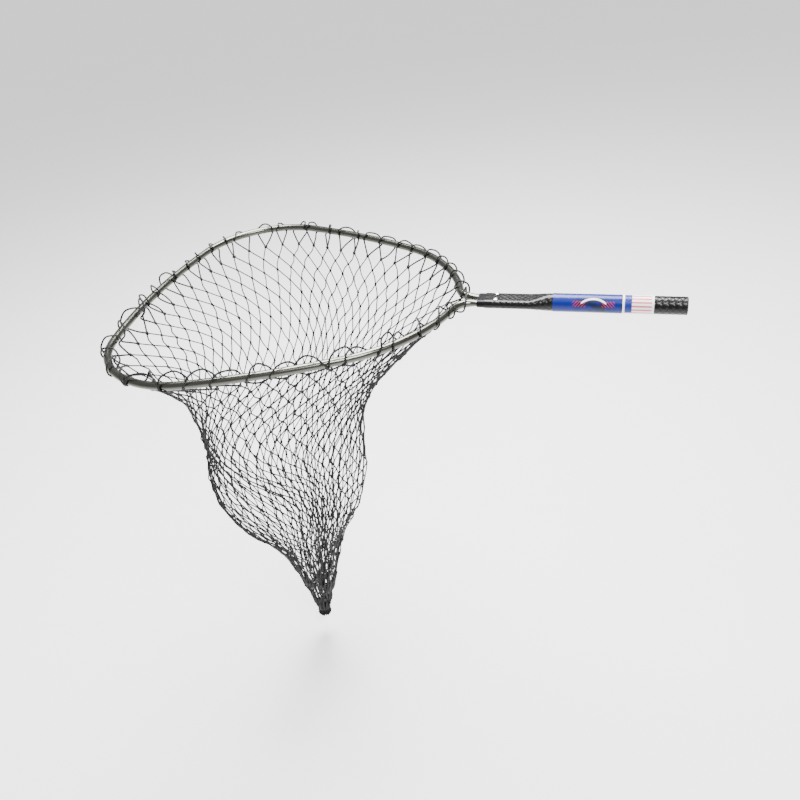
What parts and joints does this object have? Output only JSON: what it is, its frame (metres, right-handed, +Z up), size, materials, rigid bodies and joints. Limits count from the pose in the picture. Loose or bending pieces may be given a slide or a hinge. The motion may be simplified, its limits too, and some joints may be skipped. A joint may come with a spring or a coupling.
{
  "type": "landing net",
  "caption": "Landing net: bent tube hoop riveted into a flattened tubular handle, with a knotted netting bag hung from twine loops and tied at its tail.",
  "frame": {"origin": "on the handle's axis, in the middle of the handle's round length, where a hand holds it", "axes": "+X along the handle towards its butt, +Y across the hoop, +Z up out of the hoop's mouth; the bag hangs towards -Z"},
  "size_m": [1.1097, 0.7258, 0.9696],
  "materials": {
    "hoop_aluminium": "satin drawn tube, with fine lengthwise draw lines",
    "handle_metal": "black anodised, satin",
    "sleeve_vinyl": "glossy black shrink sleeve with an embossed braid",
    "rivet_aluminium": "bright domed head",
    "mandrel_steel": "broken steel stem",
    "label_blue": "glossy printed film, blue with a plain white band",
    "label_striped": "glossy printed film, white with plain stripes",
    "cap_vinyl": "matt black moulded vinyl",
    "heavy_twine": "stiff twisted nylon, black",
    "net_twine": "twisted nylon with a dipped coat, black"
  },
  "bodies": {
    "root": {"hoop": "hoop_aluminium", "handle_tube": "handle_metal", "grip_sleeve": "sleeve_vinyl", "rivet_near": "rivet_aluminium", "rivet_far": "rivet_aluminium", "rivet_mandrel_near": "mandrel_steel", "rivet_mandrel_far": "mandrel_steel", "wrap_label": "label_blue", "striped_label": "label_striped", "end_cap": "cap_vinyl", "rim_loops": "heavy_twine", "net_bag": "net_twine", "tail_tie": "net_twine"}
  },
  "joints": []
}
